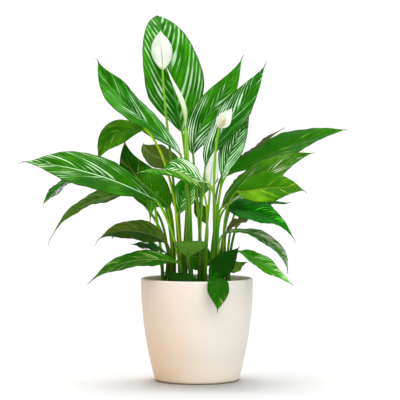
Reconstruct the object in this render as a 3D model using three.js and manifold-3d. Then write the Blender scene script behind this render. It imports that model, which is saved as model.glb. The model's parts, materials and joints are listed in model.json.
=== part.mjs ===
// A potted peace lily: a cream cover pot filled with soil, a clump of leaves on long stalks,
// and four white flowers. Millimetres, +Z up, origin in the middle of the pot's underside.
// The photograph looks along +Y, with +X to the right.
import * as THREE from "three";
import { mergeVertices } from "three/addons/utils/BufferGeometryUtils.js";
import Module from "manifold-3d";

// pot and soil
const potHeight = 182;
const potRadius = 100; // outside, at the rim
const footRadius = 75;
const footCorner = 7; // radius of the edge round the flat underside
const potWall = 5;
const potFloor = 7;
const potSides = 40;
const potLevels = [40, 75, 110, 145]; // heights of the rings between foot and rim
const soilTop = 165;
const seatGap = 0.3; // between pieces that touch
const holeDepth = 12; // how deep the stalks stand in the soil
const holeSides = 8;
const leafHoleRadius = 6;
const scapeHoleRoom = 1.1; // between a scape and the wall of its hole

// stalks and blades
const bladeThickness = 0.9;
const bladeStep = 22; // length of one span of a blade, about
const pointsPerHalf = 2;
const tipHalf = 0.7; // half width at the drip tip
const tipRib = 1.1; // thickness of the midrib at the tip
const neckFold = 20; // degrees by which a blade is folded further at its neck
const neckShare = 1 / 3; // share of the blade in which that fold opens
const wavesPerBlade = 2.5; // along each edge
const wavePhase = 2; // radians between the two edges
const stalkStep = 50;
const stalkBend = 0.22; // share of a stalk's reach in which it turns towards its blade
const stalkCollar = 1; // height above the soil where a stalk may start to bend
const stalkFold = 12; // degrees; the channel along a stalk's upper face
const stalkNeck = { half: 2.1, rib: 3.2, edge: 1.2 }; // half width and thicknesses
const stalkRoot = { half: 3.9, rib: 5, edge: 2.4 };

// flowers
const scapeRadius = 2.1;
const scapeTaper = 0.4; // a scape is this much thicker at its root
const scapeSides = 6;
const scapeSteps = 7;
const scapeRise = 0.4; // share of its height for which a scape keeps upright
const spatheThickness = 0.8;
const spatheRib = 1.2;
const spatheSteps = 7;
const spatheBroadest = 0.42; // share of its length
const spatheBaseHalf = 1;
const spatheBackset = 1.3; // the spathe's rib stands this far behind the scape's axis
const spadixForeset = 1.7; // and the spadix this far in front of it
const spadixSides = 10;
const spadixRadius = 3.2;
const spadixNeckGap = 0.5; // above the end of the scape
const spadixLean = 0.32; // slope away from the spathe
const knobOut = 1.12; // share of the radius on a floret
const knobIn = 0.95; // and between two
const spadixGirth = [0.25, 0.28, 0.7, 0.96, 1, 0.97, 0.9, 0.75, 0.35]; // from its foot to its end

// Leaves, by where they show in the photograph. Each has its stalk's root in the soil (x, y), and
// four points of its midrib: the neck where the blade begins, two points a third and two thirds
// along it, and the tip. `across` points from the left edge to the right one, seen from above
// the blade with its tip ahead. `twist` turns the blade about its midrib by the time it reaches the
// tip, and `fold` is how steeply each half rises from the midrib, both in degrees. `shoulder` below 1
// rounds the blade's base, and `point` above 1 draws the blade out to its tip.
const leaves = {
  top: {
    root: [-10, 42], neck: [-27, 78, 442], low: [-42, 84, 515], high: [-58, 88, 598],
    tip: [-75, 150, 658], width: 118, across: [0.93, 0.36, 0.2], fold: 25, point: 0.9, tone: "bright",
  },
  left_high: {
    root: [-20, 16], neck: [-30, 26, 402], low: [-81, 25, 450], high: [-141, 21, 506],
    tip: [-177, 16, 570], width: 55, across: [0.525, 0.69, 0.5], twist: -17, broadest: 0.66,
    shoulder: 0.7,
    tone: "bright",
  },
  left_arched: {
    root: [-28, 2], neck: [-92, -6, 447], low: [-130, -22, 445], high: [-157, -32, 427],
    tip: [-176, -38, 386], width: 45, across: [0.1, 0.3, 0.95], fold: 16, broadest: 0.5, tone: "mid",
  },
  left_long: {
    root: [-28, -22], neck: [-70, -34, 319], low: [-142, -66, 355], high: [-221, -82, 379],
    tip: [-301, -84, 390], width: 76, across: [0.15, 0.6, 0.75], broadest: 0.54, stalk: 1.6, tone: "mid",
  },
  left_far: {
    root: [-46, 50], neck: [-205, 66, 373], low: [-229, 68, 357], high: [-254, 66, 337],
    tip: [-278, 62, 313], width: 34, across: [0, 0.8, 0.6], broadest: 0.62, point: 0.7, rise: 0.7,
    tone: "dark",
  },
  left_hanging: {
    root: [-50, 4], neck: [-112, -8, 332], low: [-162, -8, 326], high: [-215, -8, 304],
    tip: [-262, -8, 250], width: 46, across: [0, 0.85, 0.5], rise: 0.85, tone: "olive",
  },
  left_dark: {
    root: [-41, 22], neck: [-50, 19, 305], low: [-77, 17, 333], high: [-112, 15, 367],
    tip: [-129, 13, 424], width: 70, across: [0.75, 0.35, 0.55], broadest: 0.46, point: 0.9, stalk: 2,
    tone: "dark",
  },
  left_olive: {
    root: [-26, 56], neck: [-31, 70, 379], low: [-58, 74, 391], high: [-83, 78, 402],
    tip: [-98, 80, 420], width: 50, across: [-0.5, 0.5, -0.75], broadest: 0.5,
    shoulder: 0.6, point: 0.7, tone: "olive",
  },
  centre_upper: {
    root: [26, -22], neck: [20, -20, 351], low: [-5, -16, 363], high: [-32, -14, 377],
    tip: [-61, -16, 376], width: 44, across: [0.35, 0.5, 0.8], broadest: 0.6, shoulder: 1.7,
    tone: "bright",
  },
  centre_lower: {
    root: [15, -37], neck: [11, -42, 337], low: [-21, -56, 357], high: [-66, -64, 370],
    tip: [-109, -66, 369], width: 46, across: [0.1, 1, 0.25], tone: "bright",
  },
  right_peak: {
    root: [8, 32], neck: [-7, 48, 401], low: [8, 49, 454], high: [46, 48, 511],
    tip: [81, 42, 575], width: 66, across: [0.85, 0.2, -0.4], tone: "bright",
  },
  right_bright: {
    root: [4, 10], neck: [15, 23, 379], low: [40, 24, 433], high: [80, 17, 491],
    tip: [121, 4, 561], width: 64, across: [0.5, -0.75, -0.42], twist: 24, broadest: 0.56,
    tone: "bright",
  },
  right_inner: {
    root: [24, 22], neck: [45, 28, 360], low: [57, 30, 401], high: [76, 30, 440],
    tip: [95, 28, 478], width: 42, across: [0.9, 0.1, -0.35], tone: "mid",
  },
  right_long: {
    root: [40, 6], neck: [52, 4, 364], low: [116, -2, 396], high: [189, -10, 427],
    tip: [264, -14, 446], width: 68, across: [0.2, -0.8, -0.55], broadest: 0.52, tone: "mid",
  },
  right_under: {
    root: [40, -26], neck: [43, -34, 308], low: [90, -40, 344], high: [146, -48, 382],
    tip: [203, -51, 405], width: 62, across: [0.3, -0.6, -0.7], tone: "mid",
  },
  right_strip: {
    root: [36, 40], neck: [53, 56, 373], low: [84, 62, 388], high: [118, 66, 419],
    tip: [158, 68, 449], width: 44, across: [-0.15, -0.95, 0.27], tone: "olive",
  },
  right_young: {
    root: [46, -66], neck: [69, -106, 339], low: [101, -112, 342], high: [143, -116, 346],
    tip: [185, -116, 340], width: 62, across: [0, -0.5, -0.85], broadest: 0.48, tone: "young",
  },
  right_dark: {
    root: [40, -54], neck: [50, -75, 309], low: [88, -86, 305], high: [129, -88, 293],
    tip: [168, -86, 257], width: 62, across: [0, -0.75, -0.65], tone: "dark",
  },
  right_small: {
    root: [53, 8], neck: [77, 20, 318], low: [106, 24, 323], high: [136, 26, 315],
    tip: [167, 26, 316], width: 38, across: [0, -0.9, -0.3], tone: "mid",
  },
  right_drooping: {
    root: [37, -66], neck: [42, -88, 260], low: [82, -94, 269], high: [131, -102, 248],
    tip: [157, -104, 201], width: 23, across: [0, -0.95, -0.3], twist: 55, broadest: 0.66,
    tone: "bright",
  },
  right_olive: {
    root: [54, -12], neck: [52, -22, 264], low: [68, -28, 278], high: [84, -30, 286],
    tip: [98, -30, 294], width: 30, across: [0, -0.8, 0.5], tone: "olive",
  },
  low_right: {
    root: [54, -44], neck: [73, -66, 233], low: [104, -70, 218], high: [136, -74, 197],
    tip: [166, -76, 176], width: 34, across: [0, -0.65, -0.75], tone: "mid",
  },
  low_dark: {
    root: [12, -72], neck: [23, -77, 185], low: [38, -81, 203], high: [56, -84, 222],
    tip: [73, -84, 241], width: 40, across: [0.76, -0.1, -0.65], fold: 14, tone: "dark",
  },
  low_olive: {
    root: [60, -20], neck: [58, -24, 194], low: [67, -28, 200], high: [77, -31, 206],
    tip: [88, -33, 212], width: 24, across: [0.3, -0.7, -0.65], tone: "olive",
  },
  front_rim: {
    root: [29, -78], neck: [34, -84, 180], low: [35, -103, 185], high: [37, -118, 165],
    tip: [35, -124, 134], width: 38, across: [-1, 0, 0], broadest: 0.6, fold: 14, tone: "mid",
  },
  left_brown: {
    root: [-42, -30], neck: [-52, -44, 244], low: [-87, -50, 263], high: [-132, -54, 268],
    tip: [-173, -54, 253], width: 48, across: [0, 0.65, 0.75], tone: "olive",
  },
  left_shade: {
    root: [-56, -12], neck: [-57, -18, 229], low: [-77, -20, 235], high: [-97, -22, 240],
    tip: [-118, -22, 243], width: 31, across: [0, 0.9, 0.4], tone: "dark",
  },
  low_left: {
    root: [-30, -52], neck: [-30, -64, 212], low: [-78, -72, 219], high: [-134, -76, 211],
    tip: [-189, -76, 178], width: 42, across: [0, 0.75, 0.65], broadest: 0.5, tone: "mid",
  },
  low_front: {
    root: [4, -66], neck: [6, -68, 177], low: [-13, -74, 182], high: [-38, -71, 188],
    tip: [-61, -63, 198], width: 25, across: [0, 0.6, 0.8], tone: "dark",
  },
  front_grey: {
    root: [-10, -48], neck: [-16, -60, 220], low: [-14, -62, 236], high: [-12, -54, 248],
    tip: [-10, -28, 246], width: 60, across: [1, 0, 0], fold: 10, broadest: 0.6, shoulder: 1.3, tone: "mid",
  },
  stem_grey: {
    root: [-27, 34], neck: [-32, 33, 294], low: [-27, 33, 321], high: [-19, 32, 347],
    tip: [-14, 32, 383], width: 46, across: [1, 0.1, 0.2], tone: "dark",
  },
  stem_brown: {
    root: [12, 54], neck: [18, 62, 275], low: [10, 66, 292], high: [2, 70, 306],
    tip: [-6, 72, 322], width: 26, across: [-0.85, 0.1, -0.5], tone: "olive",
  },
  stem_small: {
    root: [-61, -3], neck: [-76, -10, 320], low: [-79, -12, 333], high: [-81, -20, 318],
    tip: [-83, -26, 284], width: 26, across: [-1, 0, 0], wave: 1, tone: "mid",
  },
  back_right: {
    root: [40, 58], neck: [70, 96, 330], low: [100, 140, 352], high: [130, 182, 360],
    tip: [160, 220, 345], width: 70, across: [0.8, -0.6, 0], tone: "mid",
  },
  back_middle: {
    root: [4, 86], neck: [6, 124, 320], low: [8, 160, 345], high: [12, 200, 355],
    tip: [18, 240, 338], width: 64, across: [1, 0, 0], tone: "mid",
  },
  back_left: {
    root: [-43, 77], neck: [-66, 112, 330], low: [-96, 150, 352], high: [-130, 186, 358],
    tip: [-166, 220, 340], width: 70, across: [0.75, 0.65, 0], tone: "mid",
  },
  back_low_right: {
    root: [56, 36], neck: [76, 66, 280], low: [104, 96, 296], high: [130, 124, 296],
    tip: [152, 150, 272], width: 50, across: [0.7, -0.7, 0], tone: "dark",
  },
  back_low_left: {
    root: [-60, 36], neck: [-84, 66, 250], low: [-112, 96, 262], high: [-138, 124, 262],
    tip: [-158, 150, 244], width: 50, across: [0.7, 0.7, 0], tone: "dark",
  },
  back_low_middle: {
    root: [33, 70], neck: [28, 74, 200], low: [8, 75, 213], high: [-14, 75, 215],
    tip: [-36, 74, 208], width: 50, across: [0, 0, 1], wave: 1, tone: "dark",
  },
};

// Flowers. The scape runs from `root` in the soil to the spathe's base. The spathe has four points
// along its rib like a blade; `curl` bends each half on towards its edge.
const flowers = {
  back_view: {
    root: [-32, 42], base: [-62, 46, 553], low: [-63, 44, 578], high: [-65, 38, 603],
    tip: [-65, 32, 624], width: 50, across: [-1, 0, 0], fold: 18, curl: 40, spadix: 34,
  },
  rolled: {
    root: [-11, -4], base: [-20, 10, 449], low: [-26, 10, 485], high: [-39, 10, 519],
    tip: [-53, 10, 558], width: 24, across: [-0.6, 0.7, 0.2], fold: 20, curl: 150, girth: 4.2,
  },
  open: {
    root: [31, -53], base: [39, -24, 448], low: [45, -26, 459], high: [53, -27, 471],
    tip: [62, -26, 484], width: 32, across: [0.75, 0, -0.6], fold: 15, curl: 40, spadix: 22,
  },
  low: {
    root: [12, -16], base: [23, -12, 340], low: [25, -12, 364], high: [28, -13, 388],
    tip: [31, -16, 410], width: 34, across: [-0.95, 0.1, 0.2], fold: 20, curl: 45, spadix: 22,
  },
};

const tones = {
  bright: "#4d8f14",
  mid: "#3a7310",
  dark: "#1f4708",
  olive: "#5f6a2c",
  young: "#7fae2a",
};
const materials = {
  pot: new THREE.MeshStandardMaterial({ color: "#ece5d8", roughness: 0.5, metalness: 0 }),
  soil: new THREE.MeshStandardMaterial({ color: "#3a2a1e", roughness: 0.95, metalness: 0 }),
  scape: new THREE.MeshStandardMaterial({ color: "#8db83c", roughness: 0.45, metalness: 0 }),
  spathe: new THREE.MeshStandardMaterial({ color: "#f6f6ee", roughness: 0.5, metalness: 0 }),
  spadix: new THREE.MeshStandardMaterial({ color: "#e3d3a4", roughness: 0.8, metalness: 0 }),
};
const leafMaterial = (tone) =>
  new THREE.MeshStandardMaterial({ color: tones[tone], roughness: 0.35, metalness: 0 });

const up = new THREE.Vector3(0, 0, 1);
const vector = (list) => new THREE.Vector3(...list);
const mix = THREE.MathUtils.lerp;
const radians = THREE.MathUtils.degToRad;

const wasm = await Module();
wasm.setup();

function toSolid(geometry) {
  const bare = geometry.clone();
  bare.deleteAttribute("normal");
  bare.deleteAttribute("uv");
  const merged = mergeVertices(bare, 1e-3);
  return new wasm.Manifold(
    new wasm.Mesh({
      numProp: 3,
      vertProperties: merged.attributes.position.array,
      triVerts: new Uint32Array(merged.index.array),
    }),
  );
}

function toGeometry(solid) {
  const mesh = solid.getMesh();
  const geometry = new THREE.BufferGeometry();
  geometry.setAttribute("position", new THREE.BufferAttribute(mesh.vertProperties, 3));
  geometry.setIndex(new THREE.BufferAttribute(mesh.triVerts, 1));
  geometry.computeVertexNormals();
  return geometry;
}

// A closed skin over rings that all have the same number of points: first the upper face's, from
// left to right, then the lower face's back again. Both faces are cut into triangles alike.
function loft(rings) {
  const size = rings[0].length;
  const index = [];
  for (let ring = 0; ring < rings.length - 1; ring += 1) {
    for (let k = 0; k < size; k += 1) {
      const a = ring * size + k;
      const b = ring * size + ((k + 1) % size);
      const c = b + size;
      const d = a + size;
      if (k < size / 2) index.push(a, b, c, a, c, d);
      else index.push(a, b, d, b, c, d);
    }
  }
  const last = (rings.length - 1) * size;
  for (let k = 0; k < size / 2 - 1; k += 1) {
    const under = size - 1 - k;
    index.push(k, under, under - 1, k, under - 1, k + 1);
    index.push(last + k, last + under - 1, last + under, last + k, last + k + 1, last + under - 1);
  }
  const geometry = new THREE.BufferGeometry();
  geometry.setAttribute("position", new THREE.BufferAttribute(
    new Float32Array(rings.flat().flatMap((p) => [p.x, p.y, p.z])), 3));
  geometry.setIndex(index);
  geometry.computeVertexNormals();
  return geometry;
}

// The cubic curve that passes through `from`, through `low` and `high` at a third and two thirds
// of its run, and through `to`.
function curveThrough(from, low, high, to) {
  const early = from.clone().multiplyScalar(-5).addScaledVector(low, 18)
    .addScaledVector(high, -9).addScaledVector(to, 2).divideScalar(6);
  const late = from.clone().multiplyScalar(2).addScaledVector(low, -9)
    .addScaledVector(high, 18).addScaledVector(to, -5).divideScalar(6);
  return new THREE.CubicBezierCurve3(from, early, late, to);
}

// Points of a stalk. It stands straight in its hole, leaves the soil upright, keeps upright for
// `rise` of its height, and bends halfway towards the direction of what it carries.
function stalkPoints(root, end, heading, rise, steps) {
  const collar = new THREE.Vector3(root[0], root[1], soilTop + stalkCollar);
  const reach = end.clone().sub(collar);
  const arrival = reach.clone().normalize().add(heading).normalize();
  const early = collar.clone().addScaledVector(up, rise * reach.z);
  const late = end.clone().addScaledVector(arrival, -stalkBend * reach.length());
  const foot = collar.clone().setZ(soilTop - holeDepth + seatGap);
  return [foot, ...new THREE.CubicBezierCurve3(collar, early, late, end).getPoints(steps)];
}

// Right angles at each point of a line: where it heads, its side and its upper face.
function framesAlong(points, across) {
  return points.map((point, i) => {
    const before = points[Math.max(i - 1, 0)];
    const after = points[Math.min(i + 1, points.length - 1)];
    const heading = after.clone().sub(before).normalize();
    const side = across.clone().addScaledVector(heading, -across.dot(heading)).normalize();
    return { point, heading, side, face: side.clone().cross(heading) };
  });
}

function turned({ point, heading, side, face }, angle) {
  return {
    point,
    side: side.clone().applyAxisAngle(heading, angle),
    face: face.clone().applyAxisAngle(heading, angle),
  };
}

// One ring of a blade or a stalk. Each half leaves the rib at `fold` and bends by `curl` on its way
// to the edge; `lift` raises the two edges, and `rib` and `edge` are the thicknesses.
function bladeRing(frame, { half, fold, curl, lift, rib, edge, count = pointsPerHalf }) {
  const upper = [];
  const lower = [];
  for (const hand of [-1, 1]) {
    let reach = 0;
    let rise = rib / 2;
    const run = [{ reach, rise, lean: 0, thick: rib }];
    for (let k = 1; k <= count; k += 1) {
      const lean = fold + (curl * (k - 0.5)) / count;
      reach += (half / count) * Math.cos(lean);
      rise += (half / count) * Math.sin(lean);
      const raised = lift[hand < 0 ? 0 : 1] * (k / count) ** 2;
      run.push({ reach, rise: rise + raised, lean, thick: mix(rib, edge, k / count) });
    }
    const place = (step, depth) => frame.point.clone()
      .addScaledVector(frame.side, hand * (step.reach + depth * Math.sin(step.lean)))
      .addScaledVector(frame.face, step.rise - depth * Math.cos(step.lean));
    const ordered = hand < 0 ? run.slice(1).reverse() : run;
    upper.push(...ordered.map((step) => place(step, 0)));
    lower.push(...ordered.map((step) => place(step, step.thick)));
  }
  return [...upper, ...lower.reverse()];
}

// A blade's half width as a share of its widest, from the neck (0) to the tip (1).
function bladeOutline(t, broadest, shoulder = 0.85, point = 1.25) {
  if (t < broadest) return Math.sin((Math.PI / 2) * (t / broadest)) ** shoulder;
  return Math.cos((Math.PI / 2) * ((t - broadest) / (1 - broadest))) ** point;
}

function leafGeometry({
  root, neck, low, high, tip, width, across,
  twist = 0, fold = 22, curl = -24, wave = 2.2, broadest = 0.42, shoulder, point, stalk = 1, rise = 0.4,
}) {
  const blade = curveThrough(vector(neck), vector(low), vector(high), vector(tip));
  const bladeSteps = THREE.MathUtils.clamp(Math.round(blade.getLength() / bladeStep), 6, 10);
  const stalkSteps = THREE.MathUtils.clamp(Math.round((neck[2] - soilTop) / stalkStep), 2, 5);
  const stem = stalkPoints(root, vector(neck), blade.getTangent(0), rise, stalkSteps);
  const points = [...stem, ...blade.getPoints(bladeSteps).slice(1)];
  const frames = framesAlong(points, vector(across));
  return loft(frames.map((frame, i) => {
    const s = Math.min(i / (stem.length - 1), 1);
    const t = Math.max((i - stem.length + 1) / bladeSteps, 0);
    if (t > 0) return bladeRing(turned(frame, radians(twist) * t), bladeSection(t));
    return bladeRing(frame, stalkSection(s));
  }));

  function stalkSection(s) {
    return {
      half: mix(stalkRoot.half, stalk * stalkNeck.half, Math.sqrt(s)),
      fold: radians(stalkFold),
      curl: 0,
      lift: [0, 0],
      rib: mix(stalkRoot.rib, stalkNeck.rib, s),
      edge: mix(stalkRoot.edge, stalkNeck.edge, s),
    };
  }

  function bladeSection(t) {
    const wavy = wave * Math.sin(Math.PI * t);
    const turns = 2 * Math.PI * wavesPerBlade * t;
    const least = mix(stalk * stalkNeck.half, tipHalf, t);
    return {
      half: Math.max((width / 2) * bladeOutline(t, broadest, shoulder, point), least),
      fold: radians(fold + neckFold * Math.max(1 - t / neckShare, 0)),
      curl: radians(curl),
      lift: [wavy * Math.sin(turns), wavy * Math.sin(turns + wavePhase)],
      rib: mix(stalkNeck.rib, tipRib, Math.sqrt(t)),
      edge: bladeThickness,
    };
  }
}

// A round bar along a line, with its radius at each point.
function barGeometry(points, radii, sides, sideways) {
  const frames = framesAlong(points, sideways);
  return loft(frames.map((frame, i) => Array.from({ length: sides }, (_, k) => {
    const angle = Math.PI - (2 * Math.PI * (k + 0.5)) / sides;
    return frame.point.clone()
      .addScaledVector(frame.side, radii(i, k) * Math.cos(angle))
      .addScaledVector(frame.face, radii(i, k) * Math.sin(angle));
  })));
}

const group = new THREE.Group();
const holes = [];

function add(name, geometry, material) {
  const mesh = new THREE.Mesh(geometry, material);
  mesh.name = name;
  group.add(mesh);
}

for (const [name, leaf] of Object.entries(leaves)) {
  add(`leaf_${name}`, leafGeometry(leaf), leafMaterial(leaf.tone));
  holes.push({ at: leaf.root, radius: leafHoleRadius });
}

function addFlower(name, { root, base, low, high, tip, width, across, fold, curl, girth, spadix }) {
  const rib = curveThrough(vector(base), vector(low), vector(high), vector(tip));
  const heading = rib.getTangent(0);
  const face = vector(across).cross(heading).normalize();
  const scapeEnd = vector(base).addScaledVector(heading, -seatGap);
  const scapePoints = stalkPoints(root, scapeEnd, heading, scapeRise, scapeSteps);
  const scapeHalf = girth ?? scapeRadius;
  const taper = (i) => scapeHalf + scapeTaper * (1 - i / scapePoints.length);
  add(`scape_${name}`, barGeometry(scapePoints, taper, scapeSides, vector(across)), materials.scape);
  holes.push({ at: root, radius: scapeHalf + scapeHoleRoom });

  const backset = face.clone().multiplyScalar(-spatheBackset);
  const ribPoints = rib.getPoints(spatheSteps).map((p) => p.add(backset));
  const frames = framesAlong(ribPoints, vector(across));
  add(`spathe_${name}`, loft(frames.map((frame, i) => {
    const t = i / spatheSteps;
    return bladeRing(frame, {
      half: Math.max((width / 2) * bladeOutline(t, spatheBroadest), mix(spatheBaseHalf, tipHalf, t)),
      fold: radians(fold),
      curl: radians(curl),
      lift: [0, 0],
      rib: mix(spatheRib, spatheThickness, t),
      edge: spatheThickness,
      count: pointsPerHalf + 1,
    });
  })), materials.spathe);

  const chord = vector(tip).sub(vector(base)).normalize();
  if (spadix) addSpadix(name, vector(base), chord, face, spadix, vector(across));
}

// The spadix leans away from the spathe on a thin neck; its florets stand out as knobs.
function addSpadix(name, base, chord, face, length, across) {
  const start = base.clone().addScaledVector(face, spadixForeset)
    .addScaledVector(chord, spadixNeckGap);
  const lean = chord.clone().addScaledVector(face, spadixLean).normalize();
  const points = spadixGirth.map((_, i) =>
    start.clone().addScaledVector(lean, (length * i) / (spadixGirth.length - 1)));
  const knobs = (i, k) => spadixRadius * spadixGirth[i] * (i > 1 && (i + k) % 2 ? knobOut : knobIn);
  add(`spadix_${name}`, barGeometry(points, knobs, spadixSides, across), materials.spadix);
}
for (const [name, flower] of Object.entries(flowers)) addFlower(name, flower);

// The pot's outside widens from the foot along a parabola that is upright at the rim.
const outerRadius = (z) => potRadius - (potRadius - footRadius) * (1 - z / potHeight) ** 2;
const innerRadius = (z) => outerRadius(z) - potWall;

function potGeometry() {
  const foot = new THREE.Path();
  foot.moveTo(0, 0);
  foot.lineTo(footRadius - footCorner, 0);
  foot.quadraticCurveTo(footRadius, 0, outerRadius(footCorner), footCorner);
  const outline = foot.getPoints(3);
  const lipHalf = potWall / 2;
  const lipLevel = potHeight - lipHalf;
  for (const z of [...potLevels, lipLevel]) outline.push({ x: outerRadius(z), y: z });
  for (const angle of [45, 90, 135]) {
    const turn = radians(angle);
    const x = potRadius - lipHalf + lipHalf * Math.cos(turn);
    outline.push({ x, y: lipLevel + lipHalf * Math.sin(turn) });
  }
  const downwards = [lipLevel, ...potLevels.toReversed(), potFloor];
  for (const z of downwards) outline.push({ x: innerRadius(z), y: z });
  outline.push({ x: 0, y: potFloor });
  return latheUpright(outline);
}

// A lathe about the Z axis, with its seam's points merged.
function latheUpright(outline) {
  const profile = outline.map(({ x, y }) => new THREE.Vector2(x, y));
  const geometry = new THREE.LatheGeometry(profile, potSides);
  geometry.rotateX(Math.PI / 2);
  return geometry;
}

function soilGeometry() {
  const inside = (z) => innerRadius(z) - seatGap;
  const outline = [{ x: 0, y: potFloor + seatGap }];
  const upwards = [potFloor + seatGap, ...potLevels, soilTop];
  for (const z of upwards) outline.push({ x: inside(z), y: z });
  outline.push({ x: 0, y: soilTop });
  let soil = toSolid(latheUpright(outline));
  for (const { at, radius } of holes) {
    const hole = new THREE.CylinderGeometry(radius, radius, 2 * holeDepth, holeSides);
    hole.rotateX(Math.PI / 2);
    hole.translate(at[0], at[1], soilTop);
    soil = soil.subtract(toSolid(hole));
  }
  return toGeometry(soil);
}

add("pot", potGeometry(), materials.pot);
add("soil", soilGeometry(), materials.soil);

export default group;
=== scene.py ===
# A potted peace lily in a plain studio: ribbed glossy leaves on long stalks, white spathes,
# crumbly soil and a cream cover pot. Sizes in the tables are millimetres.
import json
import random
from math import cos, hypot, pi, radians, sin, sqrt
import bpy
from mathutils import Matrix, Vector, noise

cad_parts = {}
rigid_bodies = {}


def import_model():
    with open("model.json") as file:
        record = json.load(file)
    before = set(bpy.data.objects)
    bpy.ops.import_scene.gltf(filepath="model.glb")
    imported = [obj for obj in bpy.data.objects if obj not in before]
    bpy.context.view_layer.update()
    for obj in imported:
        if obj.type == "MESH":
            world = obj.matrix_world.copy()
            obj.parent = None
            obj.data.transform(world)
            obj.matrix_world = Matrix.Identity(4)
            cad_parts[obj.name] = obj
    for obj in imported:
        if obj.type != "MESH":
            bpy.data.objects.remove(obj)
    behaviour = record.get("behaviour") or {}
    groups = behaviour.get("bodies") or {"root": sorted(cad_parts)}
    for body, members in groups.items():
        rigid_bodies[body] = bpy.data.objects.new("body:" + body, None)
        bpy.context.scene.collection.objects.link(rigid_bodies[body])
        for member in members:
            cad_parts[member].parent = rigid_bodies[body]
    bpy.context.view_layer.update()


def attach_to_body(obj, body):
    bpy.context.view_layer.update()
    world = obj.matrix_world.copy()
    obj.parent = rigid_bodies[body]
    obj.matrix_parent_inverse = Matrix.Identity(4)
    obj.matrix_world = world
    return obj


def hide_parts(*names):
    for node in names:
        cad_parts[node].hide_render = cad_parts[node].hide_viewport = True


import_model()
scene = bpy.context.scene
mm = 0.001
soilTop = 165  # above the floor
up = Vector((0, 0, 1))
print("frame loaded")


def paint(red, green, blue):
    # a screen colour, 0 to 255, as the linear colour that a shader takes
    shares = [c / 255 for c in (red, green, blue)]
    return [s / 12.92 if s <= 0.04045 else ((s + 0.055) / 1.055) ** 2.4 for s in shares] + [1]


class field:  # an output of a node that can be added, multiplied and compared
    def __init__(self, socket):
        self.socket = socket
        self.tree = socket.id_data

    def math(self, operation, *others):
        node = self.tree.nodes.new("ShaderNodeMath")
        node.operation = operation
        for entry, value in zip(node.inputs, (self, *others)):
            plug(value, entry)
        return field(node.outputs[0])

    def __add__(self, other): return self.math("ADD", other)
    def __sub__(self, other): return self.math("SUBTRACT", other)
    def __mul__(self, other): return self.math("MULTIPLY", other)
    def __truediv__(self, other): return self.math("DIVIDE", other)
    def __pow__(self, other): return self.math("POWER", other)
    def __neg__(self): return self * -1
    def __radd__(self, other): return self + other
    def __rsub__(self, other): return -self + other
    def __abs__(self): return self.math("ABSOLUTE")

    def ramp(self, low, high, smooth=True):  # 0 at low, 1 at high, and level beyond them
        kind = "SMOOTHSTEP" if smooth else "LINEAR"
        return give(self.tree, "ShaderNodeMapRange", "Result",
                    {"Value": self, "From Min": low, "From Max": high}, interpolation_type=kind)

    def then(self, kind, feeds=None, **settings):  # a geometry node that goes on from this geometry
        return form(self.tree, kind, {"Geometry": self, **(feeds or {})}, **settings)

    def blend(self, low, high):  # low where this is 0, high where it is 1
        return self * (high - low) + low


def plug(value, entry):
    if isinstance(value, field):
        entry.id_data.links.new(value.socket, entry)
    else:
        entry.default_value = value


def pick(sockets, key):
    return next(s for s in sockets if s.name == key and s.enabled)


def add(tree, kind, feeds=None, **settings):
    node = tree.nodes.new(kind)
    for key, value in settings.items():
        setattr(node, key, value)
    for key, value in (feeds or {}).items():
        plug(value, pick(node.inputs, key))
    return node


def give(tree, kind, result, feeds=None, **settings):  # one named output of a new node
    return field(pick(add(tree, kind, feeds, **settings).outputs, result))


def form(tree, kind, feeds=None, result="Geometry", **settings):  # the same of a geometry node
    return give(tree, "GeometryNode" + kind, result, feeds, **settings)


def vectorOf(x, y, z):
    return give(x.tree, "ShaderNodeCombineXYZ", "Vector", {"X": x, "Y": y, "Z": z})


def scaled(vector, size):
    return give(vector.tree, "ShaderNodeVectorMath", "Vector", {"Vector": vector, "Scale": size},
                operation="SCALE")


def combined(operation, first, second):
    node = add(first.tree, "ShaderNodeVectorMath", operation=operation)
    plug(first, node.inputs[0])
    plug(second, node.inputs[1])
    return field(node.outputs["Vector"])


def summed(first, *rest):
    for vector in rest:
        first = combined("ADD", first, vector)
    return first


def shapeTree(name, inputs):
    tree = bpy.data.node_groups.new(name, "GeometryNodeTree")
    for way in ("INPUT", "OUTPUT"):
        tree.interface.new_socket("Geometry", in_out=way, socket_type="NodeSocketGeometry")
    kinds = {int: "Int", float: "Float", tuple: "Vector", type(None): "Material"}
    for label, value in inputs.items():
        kind = "NodeSocket" + kinds[type(value)]
        socket = tree.interface.new_socket(label, in_out="INPUT", socket_type=kind)
        if value is not None:
            socket.default_value = value
    entry = tree.nodes.new("NodeGroupInput")
    return tree, {s.name: field(s) for s in entry.outputs if s.name}


def closeTree(geometry, material=None):
    geometry = geometry.then("RealizeInstances")
    if material:
        geometry = geometry.then("SetMaterial", {"Material": material})
    plug(geometry, geometry.tree.nodes.new("NodeGroupOutput").inputs["Geometry"])
    return geometry.tree


def joined(*shapes):
    node = shapes[0].tree.nodes.new("GeometryNodeJoinGeometry")
    for shape in shapes:
        plug(shape, node.inputs["Geometry"])
    return field(node.outputs["Geometry"])


def stored(geometry, name, value, kind="FLOAT", domain="POINT"):
    return geometry.then("StoreNamedAttribute", {"Name": name, "Value": value}, data_type=kind,
                         domain=domain)


def keep(name, mesh):
    piece = bpy.data.objects.new(name, mesh)
    scene.collection.objects.link(piece)
    return piece


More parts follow.
